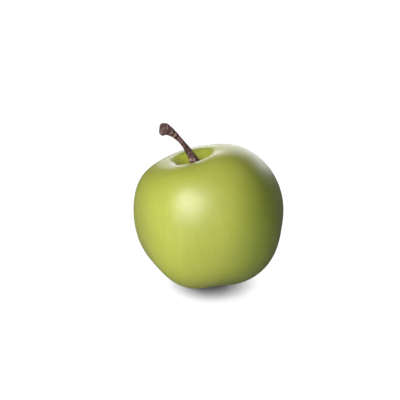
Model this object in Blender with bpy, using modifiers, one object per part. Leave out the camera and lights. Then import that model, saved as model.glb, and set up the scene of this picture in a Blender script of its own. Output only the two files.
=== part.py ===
"""A green apple as it was picked: the fruit with its woody stem, and in the hollow under it the
dried calyx, five sepals round a tuft of stamens. It stands on the five swellings round its
blossom end. Metres, +Z up, front towards -Y, origin under the middle of the fruit."""

import math

import bmesh
import bpy
from mathutils import Vector
from mathutils.geometry import interpolate_bezier

MM = 0.001
GAP = 0.3 * MM  # clearance between pieces that touch

# Rings that set the fruit's outline, before it grew lopsided.
CHEEK_RADIUS = 38.5 * MM
CHEEK_HEIGHT = 34.7 * MM
SHOULDER_RADIUS = 12.8 * MM
SHOULDER_HEIGHT = 66.0 * MM
FOOT_RADIUS = 11.4 * MM
CAVITY_FLOOR = 51.2 * MM  # the hollow that the stem grows from
BASIN_DEPTH = 7.0 * MM  # the hollow at the blossom end
EYE_RADIUS = 2.2 * MM  # the small pit in the basin
EYE_DEPTH = 2.2 * MM

# How far each ring's curve runs on before it turns, as Bezier handle lengths.
CAVITY_PULL = 3.8 * MM
SHOULDER_PULL_IN = 7.4 * MM
SHOULDER_PULL_OUT = 17.5 * MM
CHEEK_PULL_UP = 12.6 * MM
CHEEK_PULL_DOWN = 25.4 * MM
FOOT_PULL_OUT = 2.3 * MM
FOOT_PULL_IN = 4.0 * MM
BASIN_PULL = 1.5 * MM

# Five ribs: how much they swell the fruit at three levels, as a share of its radius.
RIBS = 5
FIRST_RIB = math.radians(-112.7)
CHEEK_TURN = math.radians(-13.5)  # how far the ribs have turned by the time they reach the cheek
RIB_AT_FOOT = 0.053
RIB_AT_CHEEK = 0.015
RIB_AT_SHOULDER = 0.010
FOOT_VALLEY = 1.2 * MM  # rise between two feet
SHOULDER_DIP = 0.2 * MM  # dip between two ribs at the shoulder
FEET_LEVEL = 0.45  # share of the height that the valleys fade out over
CROWN_LEVEL = 0.6  # share of the height that the dips begin at

# Lopsided growth: sideways drift of the axis, tilt of the levels, and out-of-roundness.
DRIFT_TOP = Vector((-6.7, -2.6, 0)) * MM
DRIFT_MIDDLE = Vector((5.7, 0, 0)) * MM
TILT_TOP = Vector((0.259, -0.055, 0))
TILT_MIDDLE = Vector((-0.045, 0.139, 0))
OVAL = -0.034
OVAL_ANGLE = math.radians(-3)
FLAT_SPOT_CUT = 0.3 * MM  # how much of each foot is pressed flat

# The stem: it stands in a socket at the bottom of its cavity, bends left and ends in a club.
STEM_FOOT_RADIUS = 3.2 * MM
SOCKET_RADIUS = STEM_FOOT_RADIUS + GAP
SOCKET_FLOOR = 49.5 * MM
STEM_FOOT_LEVELS = (50.8 * MM, 53.5 * MM, 57.0 * MM)
STEM_FREE_POINTS = (  # x, y, z and radius, in millimetres
    (-4.5, -2.1, 60.4, 3.05),
    (-6.0, -2.1, 64.0, 2.25),
    (-8.2, -2.1, 68.1, 1.56),
    (-11.1, -2.1, 72.2, 1.26),
    (-13.4, -2.1, 74.7, 1.34),
    (-15.8, -2.1, 77.0, 1.78),
    (-18.4, -2.1, 78.6, 2.60),
    (-20.4, -2.1, 79.05, 3.05),
    (-21.9, -2.1, 79.05, 2.30),
)

# The calyx: sepals stand round the eye and turn outwards at their tips.
SEPALS = 5
SEPAL_HALF_WIDTH = 1.25 * MM
SEPAL_TIP_HALF_WIDTH = 0.12 * MM
SEPAL_TAPER = 1.4  # above 1 the sides stay wide and close in late
SEPAL_THICKNESS = 0.45 * MM
SEPAL_PATH = (  # distance from the eye's axis and depth below it: foot, two handles, tip
    Vector((2.5, 0, -0.45)) * MM,
    Vector((1.3, 0, -2.6)) * MM,
    Vector((1.9, 0, -4.3)) * MM,
    Vector((4.3, 0, -4.4)) * MM,
)
STAMEN_BED_RADIUS = 1.2 * MM
STAMEN_LENGTH = 3.0 * MM
STAMEN_UNEVENNESS = 0.3  # share by which the threads differ in length
STAMEN_SPREAD = 0.3  # how far a thread leans out for its length
STAMEN_INSET = 0.06 * MM  # what keeps two threads apart at their feet

FRUIT_FACES_AROUND = 60  # a whole number to each rib
SEPAL_FACES_ALONG = 8


def bend(start, leave, arrive, end, count):
    """Points of one smooth stretch of outline in the XZ plane, without its last."""
    start = Vector((start[0], 0, start[1]))
    end = Vector((end[0], 0, end[1]))
    leave = start + Vector((leave[0], 0, leave[1]))
    arrive = end + Vector((arrive[0], 0, arrive[1]))
    return interpolate_bezier(start, leave, arrive, end, count + 1)[:-1]


def fruit_outline():
    """Half the fruit's section, from the stem's socket over shoulder, cheek and foot to the eye."""
    floor = (0, CAVITY_FLOOR)
    shoulder = (SHOULDER_RADIUS, SHOULDER_HEIGHT)
    cheek = (CHEEK_RADIUS, CHEEK_HEIGHT)
    foot = (FOOT_RADIUS, 0)
    eye = (EYE_RADIUS, BASIN_DEPTH)
    cavity = bend(floor, (CAVITY_PULL, 0), (-SHOULDER_PULL_IN, 0), shoulder, 13)
    socket = [Vector((0, 0, SOCKET_FLOOR)), Vector((SOCKET_RADIUS, 0, SOCKET_FLOOR))]
    points = socket + [p for p in cavity if p.x > SOCKET_RADIUS]
    points += bend(shoulder, (SHOULDER_PULL_OUT, 0), (0, CHEEK_PULL_UP), cheek, 14)
    points += bend(cheek, (0, -CHEEK_PULL_DOWN), (FOOT_PULL_OUT, 0), foot, 16)
    points += bend(foot, (-FOOT_PULL_IN, 0), (BASIN_PULL, 0), eye, 7)
    eye_floor = (0, BASIN_DEPTH + EYE_DEPTH)
    points += bend(eye, (0, EYE_DEPTH / 2), (EYE_RADIUS / 2, 0), eye_floor, 4)
    points.append(Vector((0, 0, eye_floor[1])))
    return points


def grown(point):
    """Where a point of the turned fruit ends up once its ribs, feet and lopsidedness are grown."""
    angle = math.atan2(point.y, point.x)
    radius = math.hypot(point.x, point.y)
    level = point.z / SHOULDER_HEIGHT
    middle = 4 * level * (1 - level)
    rib = math.cos(RIBS * (angle - FIRST_RIB))
    cheek_rib = math.cos(RIBS * (angle - FIRST_RIB - CHEEK_TURN))
    end_swell = RIB_AT_FOOT * (1 - level) ** 2 + RIB_AT_SHOULDER * level**2
    swell = end_swell * rib + RIB_AT_CHEEK * middle * cheek_rib
    oval = 1 + OVAL * math.cos(2 * (angle - OVAL_ANGLE))
    valley = (1 - rib) / 2
    below = max(1 - level / FEET_LEVEL, 0)
    above = max((level - CROWN_LEVEL) / (1 - CROWN_LEVEL), 0)
    near_feet = min(radius / FOOT_RADIUS, 1) * below**2
    near_crown = min(radius / SHOULDER_RADIUS, 1) * above**2
    spread = (1 + swell) * oval
    across = Vector((point.x, point.y, 0)) * spread
    tilt = TILT_TOP * level + TILT_MIDDLE * middle
    height = point.z + valley * (FOOT_VALLEY * near_feet - SHOULDER_DIP * near_crown)
    drift = DRIFT_TOP * level + DRIFT_MIDDLE * middle
    return across + drift + Vector((0, 0, height + tilt.dot(across)))


def cut_flat_spots(bm):
    """Presses a small flat spot on each foot, all in the plane z = 0."""
    geometry = bm.verts[:] + bm.edges[:] + bm.faces[:]
    level = (0, 0, FLAT_SPOT_CUT)
    bmesh.ops.bisect_plane(bm, geom=geometry, plane_co=level, plane_no=(0, 0, -1), clear_outer=True)
    bmesh.ops.holes_fill(bm, edges=[e for e in bm.edges if e.is_boundary])
    bmesh.ops.translate(bm, verts=bm.verts, vec=(0, 0, -FLAT_SPOT_CUT))


def fruit_mesh():
    bm = bmesh.new()
    ring = [bm.verts.new(point) for point in fruit_outline()]
    edges = [bm.edges.new(pair) for pair in zip(ring, ring[1:])]
    turn = {"cent": (0, 0, 0), "axis": (0, 0, 1), "angle": math.tau}
    bmesh.ops.spin(bm, geom=ring + edges, steps=FRUIT_FACES_AROUND, use_merge=True, **turn)
    bmesh.ops.remove_doubles(bm, verts=bm.verts, dist=MM / 1000)
    for vert in bm.verts:
        vert.co = grown(vert.co)
    cut_flat_spots(bm)
    return finished_mesh(bm, "fruit")


def stem_curve():
    """The stem's path, with its thickness at each point: a wide foot, a thin neck and a club."""
    feet = [grown(Vector((0, 0, level))) for level in STEM_FOOT_LEVELS]
    knots = [(point - Vector((0, 0, FLAT_SPOT_CUT)), STEM_FOOT_RADIUS) for point in feet]
    knots += [(Vector(free[:3]) * MM, free[3] * MM) for free in STEM_FREE_POINTS]
    curve = bpy.data.curves.new("stem_path", "CURVE")
    curve.dimensions = "3D"
    curve.bevel_depth = MM
    curve.bevel_resolution = 6
    curve.use_fill_caps = True
    spline = curve.splines.new("BEZIER")
    spline.resolution_u = 3
    spline.radius_interpolation = "CARDINAL"
    spline.bezier_points.add(len(knots) - 1)
    for knot, (place, radius) in zip(spline.bezier_points, knots):
        knot.co = place
        knot.radius = radius / MM
        knot.handle_left_type = "AUTO"
        knot.handle_right_type = "AUTO"
    return curve


def sepal_mesh():
    """A pointed scale, widest at its foot, that stands in from the basin and turns out again."""
    spine = interpolate_bezier(*SEPAL_PATH, SEPAL_FACES_ALONG + 1)
    bm = bmesh.new()
    bmesh.ops.create_grid(bm, x_segments=4, y_segments=SEPAL_FACES_ALONG, size=1)
    for vert in bm.verts:
        along = round((vert.co.y + 1) / 2 * SEPAL_FACES_ALONG)
        fullness = 1 - (along / SEPAL_FACES_ALONG) ** SEPAL_TAPER
        half_width = SEPAL_TIP_HALF_WIDTH + (SEPAL_HALF_WIDTH - SEPAL_TIP_HALF_WIDTH) * fullness
        vert.co = spine[along] + Vector((0, vert.co.x * half_width, 0))
    return finished_mesh(bm, "sepal")


def stamen_mesh():
    """A rounded bed with a withered thread drawn out of each face on its lower side."""
    bm = bmesh.new()
    bmesh.ops.create_uvsphere(bm, u_segments=9, v_segments=8, radius=STAMEN_BED_RADIUS)
    lower = [face for face in bm.faces if -0.97 < outward(face).z < -0.5]
    bmesh.ops.inset_individual(bm, faces=lower, thickness=STAMEN_INSET)
    for count, thread in enumerate(bmesh.ops.extrude_discrete_faces(bm, faces=lower)["faces"]):
        lean = outward(thread) * STAMEN_SPREAD
        length = STAMEN_LENGTH * (1 - STAMEN_UNEVENNESS * (1 - math.sin(2.4 * count)))
        bmesh.ops.translate(bm, verts=thread.verts, vec=Vector((lean.x, lean.y, -1)) * length)
    return finished_mesh(bm, "stamens")


def outward(face):
    """The direction of a face as seen from the middle of its mesh."""
    return face.calc_center_median().normalized()


def finished_mesh(bm, name):
    bmesh.ops.recalc_face_normals(bm, faces=bm.faces)
    mesh = bpy.data.meshes.new(name)
    bm.to_mesh(mesh)
    bm.free()
    mesh.shade_smooth()
    mesh.set_sharp_from_angle(angle=math.radians(50))
    return mesh


def material(name, colour, roughness):
    made = bpy.data.materials.new(name)
    made.use_nodes = True
    shader = made.node_tree.nodes["Principled BSDF"]
    shader.inputs["Base Color"].default_value = (*colour, 1)
    shader.inputs["Roughness"].default_value = roughness
    shader.inputs["Metallic"].default_value = 0
    return made


def place(name, data, finish, parent, collection):
    """One object of the apple, under its parent and in its collection."""
    thing = bpy.data.objects.new(name, data)
    if data:
        data.materials.clear()
        data.materials.append(finish)
    thing.parent = parent
    collection.objects.link(thing)
    return thing


def place_calyx(parent, collection):
    """Five sepals and the stamens, hung from the eye at the bottom of the basin."""
    dry_leaf = material("dry_sepal", (0.16, 0.105, 0.05), 0.8)
    dry_thread = material("dry_stamen", (0.07, 0.04, 0.022), 0.85)
    calyx = place("calyx", None, None, parent, collection)
    calyx.location = grown(Vector((0, 0, BASIN_DEPTH))) - Vector((0, 0, FLAT_SPOT_CUT))
    bract = sepal_mesh()
    for number in range(SEPALS):
        sepal = place(f"sepal_{number + 1}", bract, dry_leaf, calyx, collection)
        sepal.rotation_euler.z = FIRST_RIB + (number + 0.5) * math.tau / SEPALS
        wall = sepal.modifiers.new("thickness", "SOLIDIFY")
        wall.thickness = SEPAL_THICKNESS
        wall.offset = 0
    stamens = place("stamens", stamen_mesh(), dry_thread, calyx, collection)
    stamens.location.z = EYE_DEPTH - GAP - STAMEN_BED_RADIUS


def main():
    for thing in list(bpy.data.objects):
        bpy.data.objects.remove(thing)
    collection = bpy.data.collections.new("apple")
    bpy.context.scene.collection.children.link(collection)
    apple = place("apple", None, None, None, collection)
    skin = material("green_skin", (0.44, 0.52, 0.10), 0.35)
    bark = material("stem_bark", (0.12, 0.07, 0.055), 0.85)
    fruit = place("fruit", fruit_mesh(), skin, apple, collection)
    place("stem", stem_curve(), bark, apple, collection)
    place_calyx(apple, collection)
    xs = [vert.co.x for vert in fruit.data.vertices]
    ys = [vert.co.y for vert in fruit.data.vertices]
    apple.location = (-(min(xs) + max(xs)) / 2, -(min(ys) + max(ys)) / 2, 0)


if __name__ == "__main__":
    main()
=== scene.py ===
"""A green apple standing on a white studio table: the fruit, its woody stem and its dried calyx."""

import math

import bmesh
import bpy
from mathutils import Matrix, Vector, noise
from mathutils.geometry import interpolate_bezier


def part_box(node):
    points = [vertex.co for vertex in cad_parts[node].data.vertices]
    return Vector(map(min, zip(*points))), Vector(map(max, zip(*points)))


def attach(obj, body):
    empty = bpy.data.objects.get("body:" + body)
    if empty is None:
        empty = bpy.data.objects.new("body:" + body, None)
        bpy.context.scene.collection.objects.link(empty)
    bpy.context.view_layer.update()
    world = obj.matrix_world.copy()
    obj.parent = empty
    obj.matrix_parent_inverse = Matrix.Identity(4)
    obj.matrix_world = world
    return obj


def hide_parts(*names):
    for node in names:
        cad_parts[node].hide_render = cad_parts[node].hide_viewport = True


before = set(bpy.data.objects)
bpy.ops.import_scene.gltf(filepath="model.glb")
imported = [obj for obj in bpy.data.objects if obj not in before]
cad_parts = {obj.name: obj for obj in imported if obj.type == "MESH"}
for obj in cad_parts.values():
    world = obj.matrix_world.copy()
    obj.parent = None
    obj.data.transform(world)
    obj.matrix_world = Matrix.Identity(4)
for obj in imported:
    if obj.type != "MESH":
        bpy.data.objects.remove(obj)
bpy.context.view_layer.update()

# ---------------------------------------------------------------------------------------------
# The fruit: firm flesh in a thin waxy skin, grown as one piece. It has five ribs that end in the
# feet it stands on, a deep cavity where the stem grew and a shallow basin at the blossom end.
# It grew lopsided, with its right shoulder higher than its left.

MM = 0.001
CHEEK_RADIUS, CHEEK_HEIGHT = 38.5 * MM, 34.7 * MM
SHOULDER_RADIUS, SHOULDER_HEIGHT = 12.8 * MM, 66.0 * MM
FOOT_RADIUS = 11.4 * MM
CAVITY_FLOOR = 51.2 * MM  # the hollow that the stem grows from
SOCKET_RADIUS, SOCKET_FLOOR = 3.3 * MM, 49.5 * MM
BASIN_DEPTH = 7.0 * MM  # the hollow at the blossom end
EYE_RADIUS, EYE_DEPTH = 2.2 * MM, 2.2 * MM

# How far each ring's curve runs on before it turns, as Bezier handle lengths.
CAVITY_PULL = 3.8 * MM
SHOULDER_PULL_IN, SHOULDER_PULL_OUT = 7.4 * MM, 17.5 * MM
CHEEK_PULL_UP, CHEEK_PULL_DOWN = 12.6 * MM, 25.4 * MM
FOOT_PULL_IN, FOOT_PULL_OUT = 4.0 * MM, 2.3 * MM
BASIN_PULL = 1.5 * MM

# Five ribs: how much they swell the fruit at three levels, as a share of its radius.
RIBS = 5
FIRST_RIB = math.radians(-112.7)
CHEEK_TURN = math.radians(-13.5)  # how far the ribs have turned by the time they reach the cheek
RIB_AT_FOOT, RIB_AT_CHEEK, RIB_AT_SHOULDER = 0.053, 0.015, 0.010
FOOT_VALLEY = 1.2 * MM  # rise between two feet
SHOULDER_DIP = 0.2 * MM  # dip between two ribs at the shoulder
FEET_LEVEL, CROWN_LEVEL = 0.45, 0.6  # shares of the height where valleys end and dips begin

# Lopsided growth: sideways drift of the axis, tilt of the levels, out-of-roundness and waves.
DRIFT_TOP, DRIFT_MIDDLE = Vector((-6.7, -2.6, 0)) * MM, Vector((5.7, 0, 0)) * MM
TILT_TOP, TILT_MIDDLE = Vector((0.259, -0.055, 0)), Vector((-0.045, 0.139, 0))
OVAL, OVAL_ANGLE = -0.034, math.radians(-3)
FLAT_SPOT_CUT = 0.3 * MM  # how much of each foot is pressed flat
BROAD_WAVES, BROAD_DEPTH = 2.1, 0.16 * MM  # how many there are for one fruit radius
FINE_WAVES, FINE_DEPTH = 5.3, 0.05 * MM
BROAD_SEED, FINE_SEED = Vector((3.1, 0.4, 7.7)), Vector((9.2, 5.0, 1.3))
FRUIT_FACES_AROUND = 240


def bend(start, leave, arrive, end, count):
    """Points of one smooth stretch of a section in the XZ plane, without its last."""
    start, end = Vector((start[0], 0, start[1])), Vector((end[0], 0, end[1]))
    leave = start + Vector((leave[0], 0, leave[1]))
    arrive = end + Vector((arrive[0], 0, arrive[1]))
    return interpolate_bezier(start, leave, arrive, end, count + 1)[:-1]


def fruit_section():
    """Half the fruit's section, from the stem's socket over shoulder, cheek and foot to the eye."""
    shoulder = (SHOULDER_RADIUS, SHOULDER_HEIGHT)
    cheek = (CHEEK_RADIUS, CHEEK_HEIGHT)
    foot = (FOOT_RADIUS, 0)
    eye = (EYE_RADIUS, BASIN_DEPTH)
    eye_floor = (0, BASIN_DEPTH + EYE_DEPTH)
    cavity = bend((0, CAVITY_FLOOR), (CAVITY_PULL, 0), (-SHOULDER_PULL_IN, 0), shoulder, 44)
    points = [Vector((0, 0, SOCKET_FLOOR)), Vector((SOCKET_RADIUS, 0, SOCKET_FLOOR))]
    points += [p for p in cavity if p.x > SOCKET_RADIUS]
    points += bend(shoulder, (SHOULDER_PULL_OUT, 0), (0, CHEEK_PULL_UP), cheek, 52)
    points += bend(cheek, (0, -CHEEK_PULL_DOWN), (FOOT_PULL_OUT, 0), foot, 60)
    points += bend(foot, (-FOOT_PULL_IN, 0), (BASIN_PULL, 0), eye, 26)
    points += bend(eye, (0, EYE_DEPTH / 2), (EYE_RADIUS / 2, 0), eye_floor, 10)
    return points + [Vector((0, 0, eye_floor[1]))]


def grown(point):
    """Where a point of the turned fruit ends up once its ribs, feet and lopsidedness are grown."""
    angle = math.atan2(point.y, point.x)
    radius = math.hypot(point.x, point.y)
    level = point.z / SHOULDER_HEIGHT
    middle = 4 * level * (1 - level)
    rib = math.cos(RIBS * (angle - FIRST_RIB))
    cheek_rib = math.cos(RIBS * (angle - FIRST_RIB - CHEEK_TURN))
    end_swell = RIB_AT_FOOT * (1 - level) ** 2 + RIB_AT_SHOULDER * level**2
    swell = end_swell * rib + RIB_AT_CHEEK * middle * cheek_rib
    oval = 1 + OVAL * math.cos(2 * (angle - OVAL_ANGLE))
    below = max(1 - level / FEET_LEVEL, 0)
    above = max((level - CROWN_LEVEL) / (1 - CROWN_LEVEL), 0)
    valley = FOOT_VALLEY * min(radius / FOOT_RADIUS, 1) * below**2
    dip = SHOULDER_DIP * min(radius / SHOULDER_RADIUS, 1) * above**2
    across = Vector((point.x, point.y, 0)) * (1 + swell) * oval
    tilt = TILT_TOP * level + TILT_MIDDLE * middle
    drift = DRIFT_TOP * level + DRIFT_MIDDLE * middle
    height = point.z + (1 - rib) / 2 * (valley - dip) - FLAT_SPOT_CUT
    return across + drift + Vector((0, 0, height + tilt.dot(across)))


def uneven(point, direction):
    """The slight waviness of a fruit that swelled between leaves and twigs."""
    broad = noise.noise(direction * BROAD_WAVES + BROAD_SEED)
    fine = noise.noise(direction * FINE_WAVES + FINE_SEED)
    return point + direction * (BROAD_DEPTH * broad + FINE_DEPTH * fine)


def linear(code):
    """A colour's red, green, blue and alpha for a shader, from its sRGB hex code."""
    parts = [int(code[i : i + 2], 16) / 255 for i in (1, 3, 5)]
    return (*[((p + 0.055) / 1.055) ** 2.4 if p > 0.04045 else p / 12.92 for p in parts], 1)


def add(material, kind, inputs=None, **settings):
    """Adds one shader node. An input is a value, or the output socket of another node."""
    made = material.node_tree.nodes.new("ShaderNode" + kind)
    for name, value in settings.items():
        setattr(made, name, value)
    for name, value in (inputs or {}).items():
        if isinstance(value, bpy.types.NodeSocket):
            material.node_tree.links.new(value, made.inputs[name])
        else:
            made.inputs[name].default_value = value
    return made


def new_material(name):
    material = bpy.data.materials.new(name)
    material.use_nodes = True
    material.node_tree.nodes.clear()
    return material


FACTOR, FIRST, SECOND, MIXED = 0, 6, 7, 2  # the sockets of a Mix node that blends two colours


def per(size):
    """The scale of a pattern whose features are this many millimetres across."""
    return 1000 / size


def waxy_apple_skin():
    """Waxed skin over pale flesh, smooth as it grew: a soft wide glint on yellow-green, with light
    that sinks in and softens the shade. Faint streaks run from stem to calyx and pale pores dot it.
    The right side, less so towards the top, turns a darker green: painted shade where the key light
    falls away, laid over the greener tint of a side that grew in the leaves' shade."""
    skin = new_material("waxy_apple_skin")
    place = add(skin, "TexCoord").outputs["Object"]
    grain = add(skin, "Attribute", attribute_name="meridian").outputs["Vector"]
    along = add(skin, "SeparateXYZ", {"Vector": grain}).outputs["Z"]

    cloudy = {"Vector": place, "Scale": per(14), "Detail": 3, "Roughness": 0.55}
    cloud = add(skin, "TexNoise", cloudy).outputs["Fac"]
    greens = {FACTOR: cloud, FIRST: linear("#a3ab42"), SECOND: linear("#b5ba52")}
    ground = add(skin, "Mix", greens, data_type="RGBA").outputs[MIXED]

    stretched = add(skin, "VectorMath", {0: grain, 1: (30, 30, 9)}, operation="MULTIPLY").outputs[0]
    threads = {"Vector": stretched, "Scale": 1.0, "Detail": 4, "Roughness": 0.6}
    streaks = add(skin, "TexNoise", threads).outputs["Fac"]
    faint = {"Value": streaks, "From Min": 0.5, "From Max": 0.75, "To Min": 0.0, "To Max": 0.18}
    pale = {FACTOR: add(skin, "MapRange", faint).outputs[0], FIRST: ground, SECOND: linear("#cdd06a")}
    streaked = add(skin, "Mix", pale, data_type="RGBA").outputs[MIXED]

    inside = {"Value": along, "From Min": 0.16, "From Max": 0.06, "To Min": 0, "To Max": 0.7}
    fresh = {FACTOR: add(skin, "MapRange", inside).outputs[0], FIRST: streaked, SECOND: linear("#a9b52c")}
    greened = add(skin, "Mix", fresh, data_type="RGBA").outputs[MIXED]

    # Painted shade: a darker green on the right side, less so towards the top, where the key light falls
    # away; part of it is the greener tint of a side that grew in shade.
    to_shade = {0: place, 1: (1, 0, -0.2)}
    sideways = add(skin, "VectorMath", to_shade, operation="DOT_PRODUCT").outputs["Value"]
    ragged = add(skin, "Math", {0: cloud, 1: 8 * MM, 2: sideways}, operation="MULTIPLY_ADD").outputs[0]
    edge = {"Value": ragged, "From Min": 3.5 * MM, "From Max": 20.5 * MM}
    painted_shade = {FACTOR: add(skin, "MapRange", edge).outputs[0], FIRST: greened, SECOND: linear("#8c9b3a")}
    with_painted_shade = add(skin, "Mix", painted_shade, data_type="RGBA").outputs[MIXED]

    pores = add(skin, "TexVoronoi", {"Vector": place, "Scale": per(2.7)}).outputs["Distance"]
    round_pore = {"Value": pores, "From Min": 0.08, "From Max": 0.17, "To Min": 0.14, "To Max": 0}
    pore = add(skin, "MapRange", round_pore).outputs[0]
    corky = {FACTOR: pore, FIRST: with_painted_shade, SECOND: linear("#dfe0a0")}
    dotted = add(skin, "Mix", corky, data_type="RGBA").outputs[MIXED]

    wax = add(skin, "TexNoise", {"Vector": place, "Scale": per(3.0), "Detail": 2}).outputs["Fac"]
    rough = add(skin, "MapRange", {"Value": wax, "To Min": 0.36, "To Max": 0.46}).outputs[0]
    cells = add(skin, "TexNoise", {"Vector": place, "Scale": per(0.9), "Detail": 2}).outputs["Fac"]
    bump = add(skin, "Bump", {"Height": cells, "Distance": 0.02 * MM, "Strength": 0.6}).outputs[0]
    surface = {
        "Base Color": dotted,
        "Roughness": rough,
        "Normal": bump,
        "IOR": 1.45,
        "Coat Weight": 0.95,
        "Coat Roughness": 0.40,
        "Coat IOR": 1.45,
        "Subsurface Weight": 0.6,
        "Subsurface Radius": (1.0, 0.95, 0.4),
        "Subsurface Scale": 4.5 * MM,
    }
    shader = add(skin, "BsdfPrincipled", surface)
    add(skin, "OutputMaterial", {"Surface": shader.outputs[0]})
    return skin


def finished(bm, name, material, body="root"):
    """The object of a finished bmesh, smooth and facing outwards, which rides on its body."""
    bmesh.ops.recalc_face_normals(bm, faces=bm.faces)
    mesh = bpy.data.meshes.new(name)
    bm.to_mesh(mesh)
    bm.free()
    mesh.shade_smooth()
    mesh.materials.append(material)
    piece = bpy.data.objects.new(name, mesh)
    bpy.context.scene.collection.objects.link(piece)
    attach(piece, body)
    return piece


fruit = bmesh.new()
along = fruit.verts.layers.float.new("along")
meridian = fruit.verts.layers.float_vector.new("meridian")
section = fruit_section()
outline = [fruit.verts.new(point) for point in section]
for step, vert in enumerate(outline):
    vert[along] = step / (len(outline) - 1)
edges = [fruit.edges.new(pair) for pair in zip(outline, outline[1:])]
turn = {"cent": (0, 0, 0), "axis": (0, 0, 1), "angle": math.tau, "use_merge": True}
bmesh.ops.spin(fruit, geom=outline + edges, steps=FRUIT_FACES_AROUND, **turn)
bmesh.ops.remove_doubles(fruit, verts=fruit.verts, dist=MM / 1000)
heart = Vector((0, 0, CHEEK_HEIGHT))
for vert in fruit.verts:
    angle = math.atan2(vert.co.y, vert.co.x)
    vert[meridian] = (math.cos(angle), math.sin(angle), vert[along])
    vert.co = uneven(grown(vert.co), (vert.co - heart).normalized())
    vert.co.z = max(vert.co.z, 0)
low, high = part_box("fruit")
xs = [vert.co.x for vert in fruit.verts]
ys = [vert.co.y for vert in fruit.verts]
off_x = (low[0] + high[0] - min(xs) - max(xs)) / 2
off_y = (low[1] + high[1] - min(ys) - max(ys)) / 2
stand = Vector((off_x, off_y, 0))
bmesh.ops.translate(fruit, verts=fruit.verts, vec=stand)
fruit_skin = finished(fruit, "fruit_skin", waxy_apple_skin())
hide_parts("fruit")

# ---------------------------------------------------------------------------------------------
# The stem: a woody stalk with wrinkled bark, wide where it grows out of the bottom of the
# cavity, thin in the neck and club-shaped at the scar where it broke from its spur.

STEM_FOOT_LEVELS = (50.8 * MM, 53.5 * MM, 57.0 * MM)
STEM_FOOT_RADII = (3.15, 3.15, 3.6)
STEM_FOOT = [grown(Vector((0, 0, level))) / MM for level in STEM_FOOT_LEVELS]
STEM_KNOTS = [Vector((*knot, radius)) for knot, radius in zip(STEM_FOOT, STEM_FOOT_RADII)] + [
    Vector((-4.5, -2.1, 60.4, 3.05)),  # x, y, z and radius, in millimetres
    Vector((-6.0, -2.1, 64.0, 2.25)),
    Vector((-8.2, -2.1, 68.1, 1.56)),
    Vector((-11.1, -2.1, 72.2, 1.26)),
    Vector((-13.4, -2.1, 74.7, 1.34)),
    Vector((-15.8, -2.1, 77.0, 1.78)),
    Vector((-18.4, -2.1, 78.6, 2.60)),
    Vector((-19.5, -2.1, 78.95, 2.96)),
    Vector((-20.4, -2.1, 79.05, 3.10)),
]
STEM_SIDES = 72
STEM_RINGS = 300
STEM_LENGTH = 38  # along its curve, in millimetres
CLUB_START = 0.72  # the share of the stem's length where it begins to thicken
KNOBS_PER_MM, KNOB_DEPTH, CLUB_KNOB_DEPTH = 0.42, 0.10, 0.22
WRINKLES_AROUND, WRINKLES_ALONG, WRINKLE_DEPTH = 1.9, 0.22, 0.11
CRACKS_AROUND, CRACKS_ALONG, CRACK_DEPTH, CLUB_CRACK_DEPTH = 1.1, 2.6, 0.05, 0.04
KNOB_SEED = Vector((4.4, 1.2, 8.1))
LOOK_AHEAD = 0.004  # the share of the length that the stem's direction is measured over
SCAR_STEPS = [
    (0.02, 0.49),  # inwards, as a share of the radius, and outwards along the stem, in millimetres
    (0.07, 0.46),
    (0.10, 0.39),
    (0.13, 0.31),
    (0.16, 0.18),
    (0.16, 0.06),
    (0.14, -0.12),
    (0.10, -0.10),
]


def through(knots, share):
    """The point this share of the way along the smooth curve through the knots."""
    place = share * (len(knots) - 1)
    k = min(int(place), len(knots) - 2)
    t = place - k
    start, end = knots[k], knots[k + 1]
    leave = (end - knots[max(k - 1, 0)]) / 2
    arrive = (knots[min(k + 2, len(knots) - 1)] - start) / 2
    ends = start * (2 * t**3 - 3 * t**2 + 1) + end * (3 * t**2 - 2 * t**3)
    return ends + leave * (t**3 - 2 * t**2 + t) + arrive * (t**3 - t**2)


def bark_depth(grain, share):
    """How far the bark stands out, in millimetres: knobs, lengthwise wrinkles and fine cracks."""
    knobs = noise.noise(grain * KNOBS_PER_MM + KNOB_SEED)
    around = Vector((grain.x, grain.y, 0))
    up = Vector((0, 0, grain.z))
    wrinkles = noise.noise(around * WRINKLES_AROUND + up * WRINKLES_ALONG)
    cracks = noise.noise(around * CRACKS_AROUND + up * CRACKS_ALONG)
    club = max((share - CLUB_START) / (1 - CLUB_START), 0)
    raised = knobs * (KNOB_DEPTH + CLUB_KNOB_DEPTH * club) + wrinkles * WRINKLE_DEPTH
    return raised + cracks * (CRACK_DEPTH + CLUB_CRACK_DEPTH * club)


def bent_stem(grain, height):
    """The place of a point of the straight stem, once it has bent over and wrinkled."""
    share = min(max(grain.z / STEM_LENGTH, 0), 1)
    knot = through(STEM_KNOTS, share)
    ahead = through(STEM_KNOTS, min(share + LOOK_AHEAD, 1)).to_3d()
    behind = through(STEM_KNOTS, max(share - LOOK_AHEAD, 0)).to_3d()
    forward = (ahead - behind).normalized()
    side = (Vector((0, 1, 0)) - forward * forward.y).normalized()
    up = side.cross(forward)
    outward = Vector((grain.x, grain.y))
    radius = outward.length
    rim = min(radius, 1)
    spread = outward.normalized() if radius else outward
    reach = radius * knot.w + bark_depth(Vector((*(outward * knot.w), grain.z)), share) * rim
    return knot.to_3d() + up * (spread.x * reach) + side * (spread.y * reach) + forward * height


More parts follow.
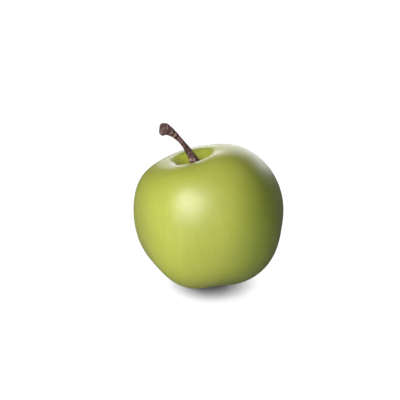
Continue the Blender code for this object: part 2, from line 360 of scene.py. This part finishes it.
def dry_apple_bark():
    """Dry bark of a fruit stalk, shrunk as it dried: matt purplish brown with dark wrinkles along it
    and pale corky bands across it."""
    bark = new_material("dry_apple_bark")
    grain = add(bark, "Attribute", attribute_name="grain").outputs["Vector"]
    lengthwise = add(bark, "VectorMath", {0: grain, 1: (1, 1, 0.18)}, operation="MULTIPLY").outputs[0]
    crosswise = add(bark, "VectorMath", {0: grain, 1: (0.3, 0.3, 1)}, operation="MULTIPLY").outputs[0]

    patches = {"Vector": grain, "Scale": per(1.9), "Detail": 4, "Roughness": 0.65}
    patch = {"Value": add(bark, "TexNoise", patches).outputs["Fac"], "From Min": 0.40, "From Max": 0.60}
    browns = {FACTOR: add(bark, "MapRange", patch).outputs[0]}
    browns |= {FIRST: linear("#3f2623"), SECOND: linear("#785a54")}
    brown = add(bark, "Mix", browns, data_type="RGBA").outputs[MIXED]

    fibres = {"Vector": lengthwise, "Scale": per(0.7), "Detail": 4, "Roughness": 0.65}
    fibre = add(bark, "TexNoise", fibres).outputs["Fac"]
    dark = {"Value": fibre, "From Min": 0.55, "From Max": 0.42, "To Min": 0, "To Max": 0.8}
    wrinkled = {FACTOR: add(bark, "MapRange", dark).outputs[0], FIRST: brown, SECOND: linear("#2f1d1a")}
    streaked = add(bark, "Mix", wrinkled, data_type="RGBA").outputs[MIXED]

    cracks = {"Vector": crosswise, "Scale": per(0.9), "Detail": 3, "Roughness": 0.6}
    crack = add(bark, "TexNoise", cracks).outputs["Fac"]
    pale = {"Value": crack, "From Min": 0.55, "From Max": 0.66, "To Min": 0, "To Max": 0.8}
    corky = {FACTOR: add(bark, "MapRange", pale).outputs[0], FIRST: streaked, SECOND: linear("#b89d90")}
    flecked = add(bark, "Mix", corky, data_type="RGBA").outputs[MIXED]

    relief = add(bark, "Math", {0: fibre, 1: crack}, operation="SUBTRACT").outputs[0]
    bump = add(bark, "Bump", {"Height": relief, "Distance": 0.25 * MM, "Strength": 0.8}).outputs[0]
    surface = {"Base Color": flecked, "Roughness": 0.78, "Normal": bump, "IOR": 1.5}
    shader = add(bark, "BsdfPrincipled", surface)
    add(bark, "OutputMaterial", {"Surface": shader.outputs[0]})
    return bark


stem = bmesh.new()
peg = {"segments": STEM_SIDES, "radius1": 1, "radius2": 1, "depth": STEM_LENGTH}
bmesh.ops.create_cone(stem, cap_ends=True, cap_tris=False, **peg)
bmesh.ops.translate(stem, verts=stem.verts, vec=(0, 0, STEM_LENGTH / 2))
long_edges = [e for e in stem.edges if abs(e.verts[0].co.z - e.verts[1].co.z) > 1]
bmesh.ops.subdivide_edges(stem, edges=long_edges, cuts=STEM_RINGS, use_grid_fill=True)
scar = [face for face in stem.faces if face.calc_center_median().z > STEM_LENGTH - MM]
for inset, rise in SCAR_STEPS:
    bmesh.ops.inset_region(stem, faces=scar, thickness=inset, use_even_offset=True)
    bmesh.ops.translate(stem, verts=list({v for face in scar for v in face.verts}), vec=(0, 0, rise))
bmesh.ops.poke(stem, faces=scar)
grains = stem.verts.layers.float_vector.new("grain")
for vert in stem.verts:
    knot = through(STEM_KNOTS, min(max(vert.co.z / STEM_LENGTH, 0), 1))
    vert[grains] = Vector((vert.co.x * knot.w, vert.co.y * knot.w, vert.co.z)) * MM
    vert.co = bent_stem(vert.co, max(vert.co.z - STEM_LENGTH, 0)) * MM + stand
stem_stalk = finished(stem, "stem_stalk", dry_apple_bark())
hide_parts("stem")

# ---------------------------------------------------------------------------------------------
# The sepals: the five dried leaves that once wrapped the blossom. They are thin and papery, and
# grew from the rim of the eye at the bottom of the basin. They stand up side by side round it and
# curl outwards at their tips.

SEPAL_PATH = [  # from root to tip, out from the eye and down, in millimetres
    Vector((2.5, 0, -0.45)),
    Vector((1.3, 0, -2.6)),
    Vector((1.9, 0, -4.3)),
    Vector((4.3, 0, -4.4)),
]
SEPAL_ALONG, SEPAL_ACROSS = 30, 10
SEPAL_LENGTH = 6  # millimetres
SEPAL_ROOT_HALF_WIDTH, SEPAL_TIP_HALF_WIDTH = 1.10, 0.12
SEPAL_CUP, SEPAL_KEEL = 0.28, 0.06  # how far it is hollowed across, in millimetres
SEPAL_WAVE, SEPAL_CURL = 0.07, 0.12
SEPAL_THICKNESS = 0.22 * MM
VEIN_SPACING = 0.55  # millimetres
PATTERN_SHIFT = 9  # millimetres from one leaf's pattern to the next, so that no two are alike
EYE = grown(Vector((0, 0, BASIN_DEPTH))) + stand


def dried_leaf():
    """Dried leaf, shrivelled on the fruit: papery and matt, brown with darker veins that run out to
    the edges, and scorched at its tip."""
    leaf = new_material("dried_leaf")
    blade = add(leaf, "Attribute", attribute_name="blade").outputs["Vector"]
    across, along = add(leaf, "SeparateXYZ", {"Vector": blade}).outputs[:2]

    patch = add(leaf, "TexNoise", {"Vector": blade, "Scale": per(1.2), "Detail": 3}).outputs["Fac"]
    tans = {FACTOR: patch, FIRST: linear("#6b5132"), SECOND: linear("#9a7b4f")}
    ground = add(leaf, "Mix", tans, data_type="RGBA").outputs[MIXED]

    tip = SEPAL_LENGTH * MM
    near_tip = {"Value": along, "From Min": tip / 2, "From Max": tip, "To Min": 0, "To Max": 0.7}
    scorch = add(leaf, "MapRange", near_tip).outputs[0]
    scorched = {FACTOR: scorch, FIRST: ground, SECOND: linear("#4a3420")}
    browned = add(leaf, "Mix", scorched, data_type="RGBA").outputs[MIXED]

    away = add(leaf, "Math", {0: across}, operation="ABSOLUTE").outputs[0]
    slant = add(leaf, "Math", {0: along, 1: away}, operation="SUBTRACT").outputs[0]
    turns = {0: slant, 1: math.tau / (VEIN_SPACING * MM)}
    ribs = add(leaf, "Math", turns, operation="MULTIPLY").outputs[0]
    wave = add(leaf, "Math", {0: ribs}, operation="SINE").outputs[0]
    crest = {"Value": wave, "From Min": 0.6, "From Max": 1.0, "To Min": 0, "To Max": 0.5}
    vein = add(leaf, "MapRange", crest).outputs[0]
    veins = {FACTOR: vein, FIRST: browned, SECOND: linear("#3a2919")}
    veined = add(leaf, "Mix", veins, data_type="RGBA").outputs[MIXED]

    bump = add(leaf, "Bump", {"Height": vein, "Distance": 0.05 * MM, "Strength": 0.7}).outputs[0]
    surface = {"Base Color": veined, "Roughness": 0.8, "Normal": bump, "IOR": 1.45}
    shader = add(leaf, "BsdfPrincipled", surface)
    add(leaf, "OutputMaterial", {"Surface": shader.outputs[0]})
    return leaf


leaf_finish = dried_leaf()
spine = interpolate_bezier(*SEPAL_PATH, SEPAL_ALONG + 1)
for number in range(RIBS):
    sepal = bmesh.new()
    blade = sepal.verts.layers.float_vector.new("blade")
    bmesh.ops.create_grid(sepal, x_segments=SEPAL_ACROSS, y_segments=SEPAL_ALONG, size=1)
    for vert in sepal.verts:
        across, along = vert.co.x, (vert.co.y + 1) / 2
        taper = (1 - along**1.4) * (1 + 0.06 * math.sin(along * 17 + number))
        half_width = SEPAL_TIP_HALF_WIDTH + SEPAL_ROOT_HALF_WIDTH * taper
        cup = SEPAL_CUP * across**2 * (1 - along) + SEPAL_KEEL * abs(across) ** 0.5
        wave = SEPAL_WAVE * across * math.sin(along * 9 + 2 * number)
        curl = SEPAL_CURL * along**2 * math.sin(3 * number)
        shift = number * PATTERN_SHIFT
        vert[blade] = Vector((across * half_width, along * SEPAL_LENGTH, shift)) * MM
        point = spine[round(along * SEPAL_ALONG)]
        vert.co = point + Vector((-cup, across * half_width, wave + curl))
    facing = Matrix.Rotation(math.tau * (number + 0.5) / RIBS + FIRST_RIB, 3, "Z")
    bmesh.ops.rotate(sepal, verts=sepal.verts, cent=(0, 0, 0), matrix=facing)
    bmesh.ops.scale(sepal, verts=sepal.verts, vec=(MM, MM, MM))
    bmesh.ops.translate(sepal, verts=sepal.verts, vec=EYE)
    dry_sepal = finished(sepal, f"dry_sepal_{number + 1}", leaf_finish)
    papery = dry_sepal.modifiers.new("thickness", "SOLIDIFY")
    papery.thickness = SEPAL_THICKNESS
    papery.offset = 0
    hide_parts(f"sepal_{number + 1}")

# ---------------------------------------------------------------------------------------------
# The stamens: what is left of the blossom's pollen threads, a withered tuft on a small bed that
# sits in the eye between the sepals. A few threads still carry their dried pollen heads.

GAP = 0.3 * MM  # between the bed and the pit that it sits in
BED_RADIUS, BED_LUMPS = 1.2, 0.06  # millimetres, as are the sizes below
THREADS = 17
THREAD_SIDES, THREAD_STEPS = 6, 7
THREAD_ROOT_RADIUS, THREAD_TIP_RADIUS = 0.12, 0.07
THREAD_LENGTH, LENGTH_VARIES_BY = 2.3, 0.7
TURN_TO_NEXT = math.radians(137.5)  # the angle between one thread and the next, as petals grow
LEAN_INSIDE, LEAN_OUTSIDE = 0.12, 0.42
KINK = 0.12
HEAD_RADIUS = 0.17
THREAD_ROOTS = 0.75  # where the threads leave the bed, as a share of its radius


def withered_thread():
    """Withered stamens, dried on the fruit: matt, brittle and nearly black, paler in patches."""
    fibre = new_material("withered_thread")
    place = add(fibre, "TexCoord").outputs["Object"]
    patch = add(fibre, "TexNoise", {"Vector": place, "Scale": per(0.8), "Detail": 3}).outputs["Fac"]
    browns = {FACTOR: patch, FIRST: linear("#2b1d14"), SECOND: linear("#6a5038")}
    colour = add(fibre, "Mix", browns, data_type="RGBA").outputs[MIXED]
    bump = add(fibre, "Bump", {"Height": patch, "Distance": 0.05 * MM, "Strength": 0.6}).outputs[0]
    surface = {"Base Color": colour, "Roughness": 0.85, "Normal": bump, "IOR": 1.45}
    shader = add(fibre, "BsdfPrincipled", surface)
    add(fibre, "OutputMaterial", {"Surface": shader.outputs[0]})
    return fibre


tuft = bmesh.new()
bmesh.ops.create_uvsphere(tuft, u_segments=28, v_segments=16, radius=BED_RADIUS)
for vert in tuft.verts:
    vert.co += vert.co.normalized() * BED_LUMPS * noise.noise(vert.co * 3)
for count in range(THREADS):
    finished_threads = set(tuft.verts)
    turned = Matrix.Rotation(count * TURN_TO_NEXT, 3, "Z")
    lean = LEAN_INSIDE + LEAN_OUTSIDE * math.sqrt(count / THREADS)
    length = THREAD_LENGTH + LENGTH_VARIES_BY * math.sin(2.4 * count)
    thread = {"segments": THREAD_SIDES, "depth": length}
    thread |= {"radius1": THREAD_ROOT_RADIUS, "radius2": THREAD_TIP_RADIUS}
    ends = bmesh.ops.create_cone(tuft, cap_ends=True, **thread)["verts"]
    sides = {e for v in ends for e in v.link_edges if abs(e.verts[0].co.z - e.verts[1].co.z) > 1}
    bmesh.ops.subdivide_edges(tuft, edges=list(sides), cuts=THREAD_STEPS, use_grid_fill=True)
    if count % 2 == 0:
        head = bmesh.ops.create_uvsphere(tuft, u_segments=8, v_segments=6, radius=HEAD_RADIUS)["verts"]
        bmesh.ops.scale(tuft, verts=head, vec=(1, 0.75, 1.5))
        bmesh.ops.translate(tuft, verts=head, vec=(0, 0, length / 2))
    for vert in set(tuft.verts) - finished_threads:
        out = vert.co.z / length + 0.5
        bow = lean * (out * (1.1 + 0.5 * math.sin(count) * out) + THREAD_ROOTS * BED_RADIUS)
        kink = KINK * math.sin(out * 5 + count)
        hang = -0.9 * BED_RADIUS - length * out
        vert.co = turned @ Vector((vert.co.x + bow, vert.co.y + kink, hang))
bmesh.ops.scale(tuft, verts=tuft.verts, vec=(MM, MM, MM))
clear_of_pit = EYE_DEPTH - GAP - BED_RADIUS * MM
bmesh.ops.translate(tuft, verts=tuft.verts, vec=EYE + Vector((0, 0, clear_of_pit)))
stamen_tuft = finished(tuft, "stamen_tuft", withered_thread())
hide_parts("stamens")

# ---------------------------------------------------------------------------------------------
# The stage: a matt white table in front of a white wall, both shown brighter than full white. One
# large oval soft box hangs at the front left. Two low panels behind give the pale glints on the
# edges, and two weak fills lift the shade. None of it belongs to the apple.

STAGE_MIDDLE = Vector((0, 0, 0.035))
LAMP_DISTANCE = 1.2
AMBIENT = 0.03
WALL_GLOW = 1.1
TABLE_GLOW = 1.05
TABLE_WHITE, TABLE_MIRRORED = 0.68, 0.18  # how bright the table is to the fruit, and in its gloss
PAINTED_SHADOW_REACH = 0.035  # how far from the fruit its shadow on the table fades out
TABLE_SIZE = 4


def direction(azimuth, elevation):
    """The way from the apple to a lamp or a camera. Azimuth 0 is in front, 90 on the right."""
    azimuth, elevation = math.radians(azimuth), math.radians(elevation)
    level = math.cos(elevation)
    return Vector((math.sin(azimuth) * level, -math.cos(azimuth) * level, math.sin(elevation)))


def soft_light(name, azimuth, elevation, width, height, power, glints=True):
    """An oval soft light that faces the apple, with or without a glint of it on the skin."""
    light = bpy.data.lights.new(name, "AREA")
    light.shape = "ELLIPSE"
    light.size, light.size_y = width, height
    light.energy = power
    lamp = bpy.data.objects.new(name, light)
    towards = direction(azimuth, elevation)
    lamp.location = STAGE_MIDDLE + towards * LAMP_DISTANCE
    lamp.rotation_euler = towards.to_track_quat("Z", "Y").to_euler()
    lamp.visible_camera = False
    lamp.visible_glossy = glints
    bpy.context.scene.collection.objects.link(lamp)


def white_table():
    """Matt white laminate, pressed smooth. To the camera it glows past full white, with a painted
    shadow under the apple that dims the glow as far as the fruit hides the sky. To the fruit it is
    plain diffuse white, and a duller white where the fruit mirrors it."""
    laminate = new_material("white_table_laminate")
    # Painted shadow: the glow that the camera sees dims where the fruit hides a sky leaning back and
    # left, so the shadow under the apple is painted, not cast by the lamps.
    sky = add(laminate, "CombineXYZ", {"X": -0.13, "Y": 0.24, "Z": 0.96}).outputs[0]
    hidden = {"Distance": PAINTED_SHADOW_REACH, "Normal": sky}
    open_sky_for_painted_shadow = add(laminate, "AmbientOcclusion", hidden, samples=16).outputs["AO"]
    fade = {"Value": open_sky_for_painted_shadow, "From Min": 0.02, "From Max": 0.32, "To Min": 0.0, "To Max": TABLE_GLOW}
    glow = add(laminate, "MapRange", fade).outputs[0]
    glow_with_painted_shadow = add(laminate, "Emission", {"Strength": glow}).outputs[0]
    bright = add(laminate, "BsdfDiffuse", {"Color": (*[TABLE_WHITE] * 3, 1)}).outputs[0]
    dim = add(laminate, "BsdfDiffuse", {"Color": (*[TABLE_MIRRORED] * 3, 1)}).outputs[0]
    rays = add(laminate, "LightPath")
    lit = add(laminate, "MixShader", {0: rays.outputs["Is Glossy Ray"], 1: bright, 2: dim}).outputs[0]
    sides = {0: rays.outputs["Is Camera Ray"], 1: lit, 2: glow_with_painted_shadow}
    add(laminate, "OutputMaterial", {"Surface": add(laminate, "MixShader", sides).outputs[0]})
    return laminate


table = bmesh.new()
bmesh.ops.create_grid(table, x_segments=1, y_segments=1, size=TABLE_SIZE)
table_mesh = bpy.data.meshes.new("table_top")
table.to_mesh(table_mesh)
table.free()
table_mesh.materials.append(white_table())
table_top = bpy.data.objects.new("table_top", table_mesh)
bpy.context.scene.collection.objects.link(table_top)

# Azimuth and elevation in degrees, width and height in metres, power in watts.
soft_light("key", 334, 32, 0.96, 0.78, 15.7)
soft_light("low_fill", 308, 6, 0.7, 0.3, 4.5, glints=False)
soft_light("back_wall", 179, 9.5, 0.78, 0.31, 2.0)
soft_light("right_wall", 157, 4, 0.44, 0.14, 0.85)
soft_light("rear_fill", 130, 38, 0.8, 0.8, 2.0, glints=False)

wall = bpy.data.worlds.new("white_wall")
wall.use_nodes = True
wall.node_tree.nodes.clear()
rays = add(wall, "LightPath")
looked_at = {"Value": rays.outputs["Is Camera Ray"], "To Min": AMBIENT, "To Max": WALL_GLOW}
glow = add(wall, "MapRange", looked_at).outputs[0]
white = add(wall, "Background", {"Color": (1, 1, 1, 1), "Strength": glow}).outputs[0]
add(wall, "OutputWorld", {"Surface": white})
bpy.context.scene.world = wall

CAMERA_ELEVATION = 20.6
CAMERA_DISTANCE = 0.5
FOCAL_LENGTH, SENSOR_WIDTH = 90, 36  # millimetres
AIM = Vector((-0.0044, 0.0030, 0.0409))
lens = bpy.data.cameras.new("camera")
lens.lens = FOCAL_LENGTH
lens.sensor_width = SENSOR_WIDTH
camera = bpy.data.objects.new("camera", lens)
camera.location = AIM + direction(0, CAMERA_ELEVATION) * CAMERA_DISTANCE
camera.rotation_euler = (math.radians(90 - CAMERA_ELEVATION), 0, 0)
bpy.context.scene.collection.objects.link(camera)
bpy.context.scene.camera = camera
bpy.context.scene.view_settings.view_transform = "Standard"
